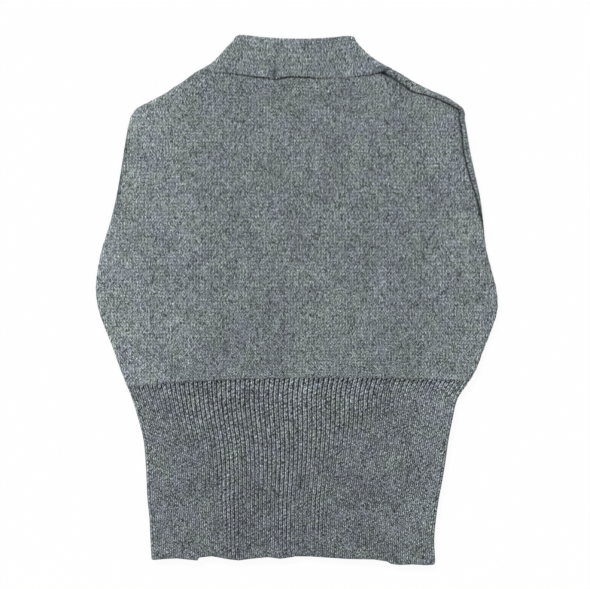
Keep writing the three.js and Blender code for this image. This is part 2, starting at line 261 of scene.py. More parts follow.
def flat_place(side, y, e, wall):
    """The flat x of the cloth that is e round the side edge, counted from its outermost point."""
    x, rate = curve(side, y)
    radius, _, bend = edge_shape(y, wall)
    way = 1 if side == "left" else -1
    return x + way * np.hypot(1, rate) * (radius + wall / 2 + e - bend)


def beside_edge(x, y, wall):
    """The nearer side edge for flat places x: which way is inward, its slope, and e.

    e is how far the place is round the edge, counted from its outermost point.
    """
    radius, _, bend = edge_shape(y, wall)
    to_left = x < (level("left", y) + level("right", y)) / 2
    edge_x, rate = np.where(to_left, curve("left", y), curve("right", y))
    way = np.where(to_left, 1, -1)
    e = way * (x - edge_x) / np.hypot(1, rate) - radius - wall / 2 + bend
    return edge_x, rate, way, e


def on_tube(x, y, facing, off, wall):
    """Points of the tube for flat places x and heights y, off mm out of the wall's middle.

    Past the line where the top goes over into the edge, the cloth follows a half circle about
    the edge's centre and then runs back flat on the other side.
    """
    x, y, off = np.broadcast_arrays(np.asarray(x, float), y, off)
    radius, centre, bend = edge_shape(y, wall)
    edge_x, rate, way, e = beside_edge(x, y, wall)
    turn = np.clip(e, -bend, bend) / radius
    beyond = np.maximum(np.abs(e) - bend, 0)
    inward = radius + wall / 2 - (radius + off) * np.cos(turn) + beyond
    place = edge_x + way * np.hypot(1, rate) * inward
    height = centre + facing * (radius + off) * np.sin(turn)
    if facing == BACK:
        across = (place - level("left", y)) / (level("right", y) - level("left", y))
        crown = level("crown", y) * (1 - np.abs(2 * across - 1) ** 4)
        lift = crown + ridges(FOLDS, place, y, "height") + ripple(place, y)
        height = height + lift * soft_step(bend, bend + 5, e)
    height = np.maximum(height, 0.0)
    return np.stack([place, y + arch(y, place, facing * np.sin(turn)), height], axis=-1)


def knit_uv(x, y, wall):
    """Stitch counts across and up, on the cloth unrolled at right angles to its side edge."""
    radius, _, bend = edge_shape(y, wall)
    edge_x, rate, way, e = beside_edge(x, y, wall)
    turn = np.clip(e, -bend, bend) / radius
    beyond = np.maximum(np.abs(e) - bend, 0)
    inward = (radius + wall / 2) * (1 - np.cos(turn)) + beyond
    unrolled = radius + wall / 2 + e - bend - inward
    stretch = np.hypot(1, rate)
    place = edge_x + way * stretch * inward
    across = place + way * unrolled / stretch
    up = y - way * rate * unrolled / stretch
    return np.stack([across / WALE, up / COURSE], axis=-1)


# How far a panel's edge runs on beneath the armhole band that is sewn to it.
TUCK = 0.5


def cut_place(side, y, facing, wall):
    """The flat x at which a panel ends: at the seam, or at the armhole band where there is one.

    Level with the band's round ends, the back fills what lies between the band and the seam.
    """
    seam = level(side, y, SEAMS) + facing * SEAM_GAP / 2
    past = np.maximum(np.maximum(y - ARMHOLE_TOP, ARMHOLE_BOTTOM - y), 0)
    reach = BAND_WIDTH - TUCK
    band = level(side, y, SLITS) + facing * np.sqrt(np.maximum(reach**2 - past**2, 0))
    beside_band = band if facing == BACK else np.minimum(band, seam)
    return flat_place(side, y, facing * np.where(past < reach, beside_band, seam), wall)


def panel_heights(start, end, step):
    """Row heights from start to end, with close rows level with the bands' round ends."""
    reach = BAND_WIDTH - TUCK
    rise = reach * np.sin(np.linspace(0, np.pi / 2, 9))
    rise = np.append(rise, reach + 0.05)
    rows = np.linspace(start, end, round((end - start) / step) + 1)
    near_top = (rows > ARMHOLE_TOP) & (rows < ARMHOLE_TOP + reach + 0.5)
    near_bottom = (rows < ARMHOLE_BOTTOM) & (rows > ARMHOLE_BOTTOM - reach - 0.5)
    rows = rows[~near_top & ~near_bottom]
    return np.sort(np.concatenate([rows, ARMHOLE_TOP + rise, ARMHOLE_BOTTOM - rise]))


# ---------------------------------------------------------------------------------------------
# Meshes
# ---------------------------------------------------------------------------------------------


def quads(grid):
    """The corners of a grid's quads, turning left as seen with rows up and columns right."""
    corners = [grid[:-1, :-1], grid[:-1, 1:], grid[1:, 1:], grid[1:, :-1]]
    return np.stack(corners, axis=-1).reshape(-1, 4)


def wall_mesh(name, outer, inner, uv, shade, loop=False, inner_step=6):
    """A closed wall from two grids of points, with uv and a shade for each point.

    Rows run up and columns to the right as seen from outside; with loop, a row closes on itself
    and uv has one column more. The inner face keeps one row in inner_step, so the rims at its
    sides are many-cornered faces, and those at its ends are quads.
    """
    rows, columns = outer.shape[:2]
    kept = np.unique(np.append(np.arange(0, rows, inner_step), rows - 1))
    face = np.arange(rows * columns).reshape(rows, columns)
    back = rows * columns + np.arange(len(kept) * columns).reshape(len(kept), columns)
    if loop:
        face, back = (np.concatenate([grid, grid[:, :1]], axis=1) for grid in (face, back))
    place = np.arange(uv.shape[0] * uv.shape[1]).reshape(uv.shape[:2])

    def around(face, back):
        """Both faces and both ends' rims."""
        rims = [np.stack([back[0], face[0]]), np.stack([face[-1], back[-1]])]
        return np.concatenate([quads(grid) for grid in (face, back[:, ::-1], *rims)])

    four, four_uv = around(face, back), around(place, place[kept])
    loops, uv_loops, sizes = [four.ravel()], [four_uv.ravel()], [4] * len(four)
    if not loop:
        for column, way in ((0, 1), (-1, -1)):
            for into, ahead, behind in ((loops, face, back), (uv_loops, place, place[kept])):
                into.append(np.concatenate([ahead[:, column], behind[::-1, column]])[::way])
            sizes.append(len(loops[-1]))
    loops, uv_loops = np.concatenate(loops), np.concatenate(uv_loops)
    starts = np.cumsum([0, *sizes[:-1]])
    smooth_count = (rows + len(kept) - 2) * (face.shape[1] - 1)
    points = np.concatenate([outer.reshape(-1, 3), inner[kept].reshape(-1, 3)]) * MM
    mesh = bpy.data.meshes.new(name)
    mesh.vertices.add(len(points))
    mesh.vertices.foreach_set("co", points.ravel())
    mesh.loops.add(len(loops))
    mesh.loops.foreach_set("vertex_index", loops)
    mesh.polygons.add(len(starts))
    mesh.polygons.foreach_set("loop_start", starts)
    mesh.update(calc_edges=True)
    mesh.polygons.foreach_set("use_smooth", np.arange(len(starts)) < smooth_count)
    layer = mesh.uv_layers.new(name="stitches")
    layer.data.foreach_set("uv", uv.reshape(-1, 2)[uv_loops].ravel())
    attribute = mesh.attributes.new("shade", "FLOAT", "POINT")
    shades = np.concatenate([shade.ravel(), shade[kept].ravel()])
    attribute.data.foreach_set("value", shades.astype(np.float32))
    if mesh.validate():
        raise RuntimeError(f"{name}: the mesh was not valid")
    piece = bpy.data.objects.new(name, mesh)
    bpy.context.collection.objects.link(piece)
    return piece


def spaced(*stretches):
    """Shares from 0 to 1 in stretches, each (its end, its number of steps)."""
    shares, start = [0.0], 0.0
    for end, steps in stretches:
        shares.extend(start + (end - start) * (i + 1) / steps for i in range(steps))
        start = end
    return np.array(shares)


def row_ends(heights, x, left, right):
    """The height of each grid point: its row's height, tilted from left to right."""
    tilt = level("tilt", heights)[:, None]
    return heights[:, None] + tilt * ((x - left[:, None]) / (right - left)[:, None] - 0.5)


# How far in from a panel's cut edge its face rounds down towards the seam, and how deep, and how
# far the painted shade line in the seam's hollow spreads.
ROUNDING, SEAM_DEPTH, SEAM_SHADE_SPREAD = 1.3, 0.5, 0.7

# How deep the side seams are and how dark their painted shade lines are, left and right, as shares
# of a full seam, and how much wider the right one's line is.
SIDE_DEPTHS, SIDE_SHADES, RIGHT_WIDER = (0.4, 1.25), (0.35, 0.92), 1 / 0.85

# How far the plain knit's edge stands proud of its wall: along the rib, and below the neck band
# where that seam is faint.
RIB_STEP, NECK_STEP = 0.05, 0.5

# How far the rows swell: by the course, and in a slower wave of this many radians a millimetre.
COURSE_SWELL, SLOW_SWELL, SLOW_WAVE = 0.11, 0.09, 0.93


def seam_dip(distance):
    """How far the face sinks near an edge: a quarter circle over the rounding's width."""
    near = np.clip(1 - distance / ROUNDING, 0, 1)
    return SEAM_DEPTH * (1 - np.sqrt(np.maximum(1 - near**2, 0)))


def painted_seam_shade(distance):
    """Painted shade: the dark line in the hollow of a seam, 1 at the seam and fading within a stitch."""
    return np.exp(-((distance / SEAM_SHADE_SPREAD) ** 2))


def painted_side_light(x, y):
    """Painted light: how much lighter the colour is made towards the sides, the left more, and a little at
    the top.
    """
    left, right = 0.28 * soft_step(40, 108, -x), 0.13 * soft_step(60, 112, x)
    return 1 + left + right + 0.03 * soft_step(-20, 150, y)


# How far the neck seam lies above its smooth arch, from left to right, and how dark its painted shade
# is; dark also sets how deep the seam dips.
NECK_SEAM = table(
    "x lift dark",
    (-62.0, 0.0, 0.3),
    (-53.0, -0.8, 0.15),
    (-43.0, 0.3, 0.3),
    (-34.0, 0.1, 0.8),
    (-25.0, -0.4, 0.9),
    (-18.0, -0.3, 0.8),
    (-14.2, -2.0, 0.7),
    (-10.0, -0.2, 1.0),
    (-3.0, 0.6, 0.9),
    (6.0, 0.0, 1.0),
    (15.0, -0.9, 0.45),
    (24.0, -1.4, 0.3),
    (37.7, -2.3, 0.25),
    (46.7, -2.5, 0.6),
    (55.7, -2.0, 1.0),
    (62.0, -0.2, 1.0),
)

# Small puckers and a pulled stitch by the neck seam, each a spot lighter or darker than the rest:
# painted light and painted shade in the colour.
PUCKER_SHADING = table(
    "x y half_width half_height shade",
    (-14.2, 138.6, 1.3, 1.8, -0.45),
    (18.9, 141.2, 1.2, 1.3, -0.35),
    (20.5, 138.4, 0.9, 0.9, 0.9),
    (20.8, 134.8, 1.2, 1.6, -0.40),
    (-70.0, 83.0, 0.8, 0.8, 0.35),
)


def neck_wave(x, y):
    """How far the cloth rises with the neck seam's wave, which fades 16 mm away from it."""
    fade = 1 - soft_step(2, 16, np.abs(y - NECK_LINE + 4))
    return np.interp(x, NECK_SEAM["x"], NECK_SEAM["lift"]) * fade


def pucker_shading(x, y):
    """The sum of the painted light and shade of the puckers: each is a bell in both directions."""
    total = np.zeros(np.broadcast(x, y).shape)
    for i in range(len(PUCKER_SHADING["x"])):
        aside = (x - PUCKER_SHADING["x"][i]) / PUCKER_SHADING["half_width"][i]
        along = (y - PUCKER_SHADING["y"][i]) / PUCKER_SHADING["half_height"][i]
        total += PUCKER_SHADING["shade"][i] * np.exp(-(aside**2) - along**2)
    return total


def jersey_panel(name, facing, step):
    """A plain-knit panel: a grid from cut edge to cut edge, closer near the sides.

    Its rows swell and sink by turns, two to a course, so its side edges are bumpy. Its lower
    edge stands a little proud of the rib.
    """
    wall = JERSEY_WALL
    heights = panel_heights(RIB_LINE, NECK_LINE - NECK_GAP / 2, COURSE / 2)
    left, right = (cut_place(side, heights, facing, wall) for side in ("left", "right"))
    shares = spaced((0.012, 9), (0.055, 14), (0.945, round(240 / step)), (0.988, 14), (1.0, 9))
    x = left[:, None] + (right - left)[:, None] * shares
    y = row_ends(heights, x, left, right)
    past = np.maximum(heights - ARMHOLE_TOP, ARMHOLE_BOTTOM - heights)
    tucked = np.where(past < BAND_WIDTH - TUCK, TUCK, 0)[:, None]
    stretch = [np.hypot(1, curve(side, heights)[1])[:, None] for side in ("left", "right")]
    from_left = np.maximum((x - left[:, None]) / stretch[0] - tucked, 0)
    from_right = np.maximum((right[:, None] - x) / stretch[1] - tucked, 0)
    dark = np.interp(x, NECK_SEAM["x"], NECK_SEAM["dark"])
    above_rib, below_neck = (heights - heights[0])[:, None], (heights[-1] - heights)[:, None]
    dips = [share * seam_dip(at) for share, at in zip(SIDE_DEPTHS, (from_left, from_right))]
    dip = np.maximum(np.maximum(*dips), 0.7 * dark * seam_dip(below_neck))
    swell = COURSE_SWELL * np.cos(2 * np.pi * heights / COURSE) + SLOW_SWELL * np.sin(heights * SLOW_WAVE)
    proud = RIB_STEP * (1 - soft_step(0, 5, above_rib))
    proud = proud + NECK_STEP * (1 - dark) * (1 - soft_step(0, 4, below_neck))
    proud = proud * (facing == BACK)
    uv = knit_uv(x, y, wall)
    # Painted shade in the hollows of the neck seam and the side seams, the right side darker, and painted
    # light towards the sides.
    top_shade = 0.75 * dark * painted_seam_shade(below_neck)
    left_shade = SIDE_SHADES[0] * painted_seam_shade(from_left)
    right_shade = SIDE_SHADES[1] * painted_seam_shade(from_right / RIGHT_WIDER)
    shade = (1 - np.maximum(top_shade, left_shade + right_shade)) * painted_side_light(x, y)
    if facing == BACK:
        # Painted light and shade of the puckers and the pulled stitch by the neck seam.
        shade = shade * (1 + pucker_shading(x, y))
        y = y + neck_wave(x, y)
    outer = on_tube(x, y, facing, wall / 2 - dip + swell[:, None] + proud, wall)
    inner = on_tube(x, y, facing, -wall / 2, wall)
    if facing == FRONT:
        outer, inner, uv, shade = (grid[:, ::-1] for grid in (outer, inner, uv, shade))
    return wall_mesh(name, outer, inner, uv, shade)


# How deep the grooves between ribs and the holes at their tops are, how far below the top of the
# rib the holes are and how far they spread, and how far a stitch swells.
GROOVE_DEPTH, HOLE_DEPTH, STITCH_SWELL = 1.35, 0.9, 0.16
HOLE_BELOW, HOLE_SPREAD = 0.9, 1.2

# Where the grooves are half gone on the left and the right: low down, and what is added above.
GROOVES_LEFT, GROOVES_RIGHT = (-56, -32), (18, 40)

# How much wider the ribs are in the middle than at the sides: all the way up, and at the height
# where the widening is greatest, with its spread.
WIDER, WIDEST, WIDEST_AT, WIDEST_SPREAD = 0.02, 0.075, -76, 26


def rib_crispness(x, y):
    """How deep the grooves between ribs are, from 0 to 1: deepest at the top and in the middle."""
    top = soft_step(-195, -70, y)
    left = GROOVES_LEFT[0] + GROOVES_LEFT[1] * soft_step(-105, -60, y)
    right = GROOVES_RIGHT[0] + GROOVES_RIGHT[1] * soft_step(-105, -62, y)
    sides = soft_step(-15, 15, x - left) * (1 - soft_step(-20, 20, x - right))
    rim = 0.6 * soft_step(-68, -55, y)
    wide = 0.92 * top**1.2 * sides + 0.03
    return np.clip(np.maximum(wide, rim) + ridges(CRISP_RIBS, x, y, "strength"), 0, 1)


def rib_panel(name, facing, phases, row_count):
    """A 1x1 rib panel: columns follow the ribs, which draw together towards the hem.

    Each rib is a round ridge between two narrow grooves. The phases are the places across one
    rib, from 0 to 1, that get a column of points. Ribs are widest in the middle, by a sine of
    the way across. Stitches swell each ridge once a course and pinch the grooves between.
    """
    wall = RIB_WALL
    low, high = SECTIONS["y"][0], RIB_LINE
    heights = np.linspace(low, high, row_count)
    outline = [level(side, heights) for side in ("left", "right")]
    cuts = [cut_place(side, heights, facing, wall) for side in ("left", "right")]
    pitch = (outline[1] - outline[0]) / RIBS_ACROSS
    before = int(np.floor(((cuts[0] - outline[0]) / pitch).max()))
    after = int(np.ceil(((cuts[1] - outline[1]) / pitch).min()))
    count = RIBS_ACROSS + after - before
    places = before + (np.arange(count)[:, None] + np.asarray(phases)).ravel()
    places = np.append(places, before + count)
    share = np.clip(places / RIBS_ACROSS, 0, 1)
    wider = WIDER + WIDEST * np.exp(-(((heights - WIDEST_AT) / WIDEST_SPREAD) ** 2))
    shift = -wider[:, None] * np.sin(2 * np.pi * share) / (2 * np.pi) * RIBS_ACROSS
    x = outline[0][:, None] + pitch[:, None] * (places + shift)
    x = np.clip(x, cuts[0][:, None], cuts[1][:, None])
    x[:, 0], x[:, -1] = cuts[0], cuts[1]
    least_step = 1e-4
    x = np.maximum.accumulate(x + np.arange(x.shape[1]) * least_step, axis=1)
    y = row_ends(heights, x, *outline)
    near_hem = (1 - soft_step(0, 16, heights - low))[:, None]
    if facing == BACK:
        y = y + (np.interp(x, HEM["x"], HEM["y"]) - low) * near_hem
    else:
        y = y + 1.2 * near_hem
    course = y / RIB_COURSE + 0.5 * (np.floor(places) % 2)
    lean = 0.06 * np.sin(2 * np.pi * course)
    groove = np.abs(((places + lean) % 1 + 0.5) % 1 - 0.5)
    valley = 1 - soft_step(0.04, 0.22, groove - 0.03 * np.cos(2 * np.pi * course))
    crisp = rib_crispness(x, y)
    from_top = (high - heights)[:, None]
    hole = valley * np.exp(-(((from_top - HOLE_BELOW) / HOLE_SPREAD) ** 2))
    hole = hole * soft_step(110, 80, np.abs(x))
    depth = GROOVE_DEPTH * crisp * valley + HOLE_DEPTH * hole
    stitches = STITCH_SWELL * crisp * np.cos(2 * np.pi * course) * (1 - valley)
    ends = np.minimum(np.abs(x - cuts[0][:, None]), np.abs(cuts[1][:, None] - x))
    dip = np.maximum(seam_dip(ends), seam_dip(0.7 * (heights - low))[:, None])
    top_dip = 0.1 * (1 - soft_step(0, 2.5, heights[-1] - heights))[:, None]
    outer = on_tube(x, y, facing, wall / 2 - depth - dip - top_dip + stitches, wall)
    inner = on_tube(x, y, facing, -wall / 2 + 0.2 * valley, wall)
    # Painted shade: the colour darkens in the grooves between ribs and in the holes at the top of the rib.
    hollow = np.clip(0.95 * crisp * valley + hole, 0, 1)
    # Painted light: the rib's colour is lighter towards the sides, the right side more.
    rib_side_light = (0.6 + 0.4 * painted_side_light(x, y)) * (1 + 0.2 * soft_step(45, 90, x) + 0.07 * soft_step(60, 100, -x))
    # Painted light on the ridges: the colour is lighter where the ribs stand out crisply.
    shade = (1 - 0.9 * hollow) * (0.84 + 0.42 * crisp**2) * rib_side_light
    uv = np.stack(np.broadcast_arrays(places[None, :], course), axis=-1)
    if facing == FRONT:
        outer, inner, uv, shade = (grid[:, ::-1] for grid in (outer, inner, uv, shade))
    return wall_mesh(name, outer, inner, uv, shade)


# Where the neck band's two ends are joined at its back, how deep that groove is, and the wider
# pucker round it.
JOIN_X, JOIN_TOP, JOIN_WIDTH, JOIN_DEPTH = -14.2, 155.0, 0.85, 0.6
PUCKER_WIDTH, PUCKER_DEPTH = 5.0, 0.3


def collar_piece(name):
    """The neck band: one loop round the tube, folded at its top edge.

    Its two faces come together at the top in a half circle, and the back has a groove where
    the ends of the band are joined.
    """
    wall = COLLAR_WALL
    round_top = wall / 2
    base, crest = NECK_LINE + NECK_GAP / 2, SECTIONS["y"][-1]
    fold = round_top * np.cos(np.linspace(0, np.pi / 2, 7))[::-1]
    close_rows = 2.0 * np.linspace(0, 1, 7)[:-1] ** 1.3
    even_rows = np.linspace(base + 2.0, crest - round_top, 32)
    heights = np.concatenate([base + close_rows, even_rows, crest - round_top + fold[1:]])
    left, right = level("left", heights), level("right", heights)
    bend = edge_shape(heights, wall)[2]
    ends = [flat_place(side, heights, 0 * heights, wall)[:, None] for side in ("left", "right")]
    bends = [flat_place(side, heights, bend, wall)[:, None] for side in ("left", "right")]
    turn, middle = np.arange(14) / 14, np.arange(150) / 150
    x = np.concatenate(
        [
            ends[0] + (bends[0] - ends[0]) * turn,
            bends[0] + (bends[1] - bends[0]) * middle,
            bends[1] + (ends[1] - bends[1]) * turn,
        ],
        axis=1,
    )
    above = np.clip((heights - crest + round_top) / round_top, 0, 1)
    closing = np.maximum(np.sqrt(1 - above**2), 0.03)[:, None]
    bumps = 0.07 * np.cos(2 * np.pi * heights / COURSE)[:, None]
    outer, inner, shades, flats = [], [], [], []
    for facing in (BACK, FRONT):
        if facing == FRONT:
            x = ends[0] + ends[1] - x
        y = row_ends(heights, x, left, right)
        uv = knit_uv(x, y, wall)
        dip = seam_dip(heights - heights[0])[:, None] + 0 * x
        # Painted shade where the face dips towards the neck seam.
        shade = 1 - 0.45 * dip / SEAM_DEPTH
        if facing == BACK:
            dark = np.interp(x, NECK_SEAM["x"], NECK_SEAM["dark"])
            dip = dip * (0.2 + 0.8 * dark)
            # Painted shade in the neck seam's hollow.
            shade = 1 - 0.6 * dark * painted_seam_shade(heights - heights[0])[:, None]
            join = np.exp(-(((x - JOIN_X) / JOIN_WIDTH) ** 2)) * soft_step(JOIN_TOP + 4, JOIN_TOP - 6, y)
            pucker = np.exp(-(((x - JOIN_X) / PUCKER_WIDTH) ** 2)) * soft_step(JOIN_TOP, base - 5, y)
            dip = dip + JOIN_DEPTH * join + PUCKER_DEPTH * pucker
            # Painted shade in the groove where the band's ends are joined.
            shade = shade * (1 - 0.85 * join)
            y = y + neck_wave(x, y)
        # Painted light: the band's colour is a little lighter towards the sides.
        shade = shade * (0.98 + 0.05 * soft_step(20, 50, np.abs(x)))
        outer.append(on_tube(x, y, facing, (wall / 2 - dip + bumps) * closing, wall))
        inner.append(on_tube(x, y, facing, -wall / 2 * closing, wall))
        shades.append(shade)
        flats.append(uv)
    uv = np.concatenate([flats[0], flats[1], flats[0][:, :1]], axis=1)
    outer, inner, shade = (np.concatenate(grid, axis=1) for grid in (outer, inner, shades))
    return wall_mesh(name, outer, inner, uv, shade, loop=True, inner_step=1)


def armband(name, side):
    """An armhole band: a ring round the slit with half-round ends, each station a short row.

    Seen across, its face is a low arch, so the band stands up between two seams.
    """
    wall, long_steps, end_steps = JERSEY_WALL, 130, 14
    straight = np.linspace(ARMHOLE_BOTTOM, ARMHOLE_TOP, long_steps)
    turns = np.pi * np.arange(1, end_steps) / end_steps
    bottom, top = np.full(end_steps - 1, ARMHOLE_BOTTOM), np.full(end_steps - 1, ARMHOLE_TOP)
    heights = np.concatenate([straight, top, straight[::-1], bottom])
    angles = np.concatenate([0 * straight, turns, np.pi + 0 * straight, np.pi + turns])
    across = np.sin(np.linspace(-0.5, 0.5, 19) * np.pi)[:, None] / 2 + 0.5
    reach = SLIT_HALF + (BAND_WIDTH - SLIT_HALF) * across
    y = heights + reach * np.sin(angles)
    x = flat_place(side, y, level(side, y, SLITS) + reach * np.cos(angles), wall)
    run = np.concatenate([[0], np.cumsum(np.hypot(np.diff(heights), np.diff(angles) * BAND_WIDTH))])
    swell = np.sqrt(np.clip(1 - (2 * across - 1) ** 4, 0, 1)) * (1 + 0.06 * np.cos(2 * np.pi * run / WALE))
    outer = on_tube(x, y, BACK, BAND_WALL / 2 * (0.15 + 0.95 * swell), wall)
    inner = on_tube(x, y, BACK, -BAND_WALL / 2 * (0.15 + 0.85 * swell), wall)
    uv = np.stack(np.broadcast_arrays(np.append(run, run[-1] + 1) / WALE, across * 2.2), axis=-1)
    edge = (1 - across) * (BAND_WIDTH - SLIT_HALF)
    # Painted shade along the band's seams, darker on the right band.
    shade = 1 - (0.3 if side == "left" else 0.8) * painted_seam_shade(edge) + 0 * x
    if side == "left":
        outer, inner, shade, uv = (grid[:, ::-1] for grid in (outer, inner, shade, uv))
    return wall_mesh(name, outer, inner, uv, shade, loop=True, inner_step=2)


# ---------------------------------------------------------------------------------------------
# Materials
# ---------------------------------------------------------------------------------------------


# How strongly short fibres and whole stitches differ in lightness, and how wide a fibre and its
# finer streaks are, in mm.
FLECKS, STITCHES = 2.5, 0.38
FLECK_WIDTH, STREAK_WIDTH = 0.38, 0.27

# How closely each unevenness changes over the cloth, in swings a metre: the drift of the stitches,
# soft patches of light and dark, smaller lumps, and patches of hue.
DRIFTS, PATCHES, LUMPS, HUES = 700.0, 60.0, 210.0, 80.0

# The cooler and the greener colour that soft patches run between, as shares of the yarn's own.
COOL, GREEN = (0.975, 0.985, 1.06), (0.985, 1.03, 0.96)


class Wire:
    """A socket that stands in sums, so that a shader's maths is written as an expression."""

    def __init__(self, tree, socket):
        self.tree, self.socket = tree, socket

    def math(self, operation, other=None, first=None):
        node = self.tree.node("ShaderNodeMath", {"operation": operation})
        pair = (self if first is None else first, other)
        for i, value in enumerate(pair):
            if value is not None:
                self.tree.feed(node.inputs[i], value)
        return Wire(self.tree, node.outputs[0])

    def __add__(self, other):
        return self.math("ADD", other)

    def __sub__(self, other):
        return self.math("SUBTRACT", other)

    def __rsub__(self, other):
        return self.math("SUBTRACT", self, first=other)

    def __mul__(self, other):
        return self.math("MULTIPLY", other)

    def __pow__(self, other):
        return self.math("POWER", other)

    def __abs__(self):
        return self.math("ABSOLUTE")

    __radd__, __rmul__ = __add__, __mul__

    def floor(self):
        return self.math("FLOOR")

    def fraction(self):
        return self.math("FRACT")

    def sine(self):
        return self.math("SINE")


class Tree:
    """A material's nodes."""

    def __init__(self, name):
        self.material = bpy.data.materials.new(name)
        self.material.use_nodes = True
        self.nodes = self.material.node_tree.nodes
        self.links = self.material.node_tree.links
        self.shader = self.nodes["Principled BSDF"]

    def feed(self, socket, value):
        if isinstance(value, Wire):
            self.links.new(value.socket, socket)
        else:
            socket.default_value = value

    def node(self, kind, settings=None, values=None):
        made = self.nodes.new(kind)
        for key, value in (settings or {}).items():
            setattr(made, key, value)
        for key, value in (values or {}).items():
            self.feed(made.inputs[key], value)
        return made

    def wire(self, node, output=0):
        return Wire(self, node.outputs[output])

    def noise(self, vector, scale, detail=2.0):
        values = {"Vector": vector, "Scale": scale, "Detail": detail}
        return self.wire(self.node("ShaderNodeTexNoise", None, values), "Fac")

    def cells(self, vector):
        """A number from 0 to 1 that is the same all over each cell of an uneven mosaic."""
        values = {"Vector": vector, "Scale": 1.0}
        mosaic = self.node("ShaderNodeTexVoronoi", {"voronoi_dimensions": "2D"}, values)
        split = self.node("ShaderNodeSeparateColor", None, {0: self.wire(mosaic, "Color")})
        return self.wire(split)

    def vector(self, x, y, z=0.0):
        return self.wire(self.node("ShaderNodeCombineXYZ", None, {0: x, 1: y, 2: z}))

    def mix(self, factor, a, b):
        """A colour between a and b; a number is a grey."""
        made = self.node("ShaderNodeMix", {"data_type": "RGBA"}, {0: factor})
        for i, value in ((6, a), (7, b)):
            self.feed(made.inputs[i], value)
        return Wire(self, made.outputs[2])

    def tint(self, colour, factor):
        """A colour times a number."""
        made = self.node("ShaderNodeVectorMath", {"operation": "SCALE"})
        self.feed(made.inputs[0], colour)
        self.feed(made.inputs[3], factor)
        return Wire(self, made.outputs[0])


def knit_material(name, colour, width=WALE, slant=0.85, relief=0.00035, contrast=1.0):
    """A knit of V-shaped stitches in a melange yarn.

    UV counts stitches, each width mm wide. In a column m is 0 at the middle and 1 at the edges,
    and a leg's height is the sine of pi times m. The rows are shifted by slant times m,
    which makes them V-shaped. Short fibres and each leg are lighter or darker by lot, soft
    patches change the lightness and hue. Where a leg is low, between legs and rows, the colour is
    painted darker as painted shade, and the shade attribute adds painted shade in hollows and seams
    and painted light towards the sides and on crisp ribs.
    """
    tree = Tree(name)
    uv = tree.node("ShaderNodeUVMap", {"uv_map": "stitches"})
    parts = tree.node("ShaderNodeSeparateXYZ", None, {0: tree.wire(uv)})
    u, v = tree.wire(parts, 0), tree.wire(parts, 1)
    place = tree.wire(tree.node("ShaderNodeTexCoord"), "Object")
    wander = (tree.noise(place, DRIFTS, 1.0) - 0.5) * 0.5
    u = u + wander * (0.35 * WALE / width)
    a = u.fraction() - 0.5
    m = abs(a) * 2.0
    leg = (m * np.pi).sine().math("MAXIMUM", 0.0) ** 0.8
    shifted = v - m * slant + wander
    stroke = 1.0 - abs(shifted.fraction() * 2.0 - 1.0) ** 2.5
    height = leg * (stroke * 0.75 + 0.25)
    cell = tree.vector(u.floor() + a.math("SIGN") * 0.25, shifted.floor())
    lot = tree.wire(tree.node("ShaderNodeTexWhiteNoise", {"noise_dimensions": "2D"}, {"Vector": cell}))
    grain = tree.cells(tree.vector(u * (width / FLECK_WIDTH) + wander, shifted * 5.4))
    fibre = tree.noise(tree.vector(u * (width / STREAK_WIDTH), shifted * 5.0), 1.7, 3.0)
    patch = tree.noise(place, PATCHES, 3.0)
    lumps = tree.noise(place, LUMPS, 2.0)
    yarn = (
        1.0
        + (grain**1.4 - 0.42) * (FLECKS * contrast)
        + (fibre - 0.5) * (0.9 * contrast)
        + (lot - 0.5) * (STITCHES * contrast)
    ).math("MAXIMUM", 0.1)
    soft = 1.0 + (patch - 0.5) * 0.65 + (lumps - 0.5) * 0.25
    shade = tree.wire(tree.node("ShaderNodeAttribute", {"attribute_name": "shade"}), "Fac")
    # Painted shade: the colour darkens where the legs are low, and the shade attribute brings in the
    # painted shade and light.
    light = yarn * (height * 1.35 + 0.28) * soft * shade
    cool, green = ([c * f for c, f in zip(colour, factors)] + [1.0] for factors in (COOL, GREEN))
    hue = (tree.noise(place, HUES, 3.0) - 0.5) * 4.0 + 0.5
    hue = hue.math("MAXIMUM", 0.0).math("MINIMUM", 1.0)
    tree.feed(tree.shader.inputs["Base Color"], tree.tint(tree.mix(hue, cool, green), light))
    relief_height = height + (fibre - 0.5) * 0.5
    bump = tree.node("ShaderNodeBump", None, {"Height": relief_height, "Strength": 1.0, "Distance": relief})
    tree.feed(tree.shader.inputs["Normal"], tree.wire(bump))
    for key, value in (("Roughness", 0.95), ("Specular IOR Level", 0.1), ("Sheen Weight", 0.12)):
        tree.shader.inputs[key].default_value = value
    tree.shader.inputs["Sheen Roughness"].default_value = 0.6
    return tree.material


def finish_piece(piece, material, node):
    """Gives a piece its material and body, and hides the CAD part it stands for."""
    piece.data.materials.append(material)
    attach(piece, "root")
    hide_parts(node)


# ---------------------------------------------------------------------------------------------
# Settings, operators and the panel
# ---------------------------------------------------------------------------------------------


def colour_setting(name, description, default):
    """A colour that can be set in the sidebar."""
    return bpy.props.FloatVectorProperty(
        name=name, description=description, subtype="COLOR", size=3, min=0, max=1, default=default
    )


class GarmentSettings(bpy.types.PropertyGroup):
    jersey_colour: colour_setting("Plain knit", "Colour of the back and front", (0.203, 0.226, 0.234))
    rib_colour: colour_setting("Rib", "Colour of the ribbed lower part", (0.184, 0.202, 0.214))
    collar_colour: colour_setting("Neck band", "Colour of the doubled band", (0.238, 0.268, 0.282))
    band_colour: colour_setting("Armhole bands", "Colour of the narrow bands", (0.214, 0.242, 0.252))
    grid_step: bpy.props.FloatProperty(
        name="Grid step", description="Spacing of the plain knit's mesh, in mm", default=1.3, min=0.8
    )
    light_strength: bpy.props.FloatProperty(
        name="Light", description="Strength of the slanting light", default=1.9, min=0
    )
    sky_strength: bpy.props.FloatProperty(
        name="Sky", description="Strength of the light from all round", default=0.62, min=0
    )


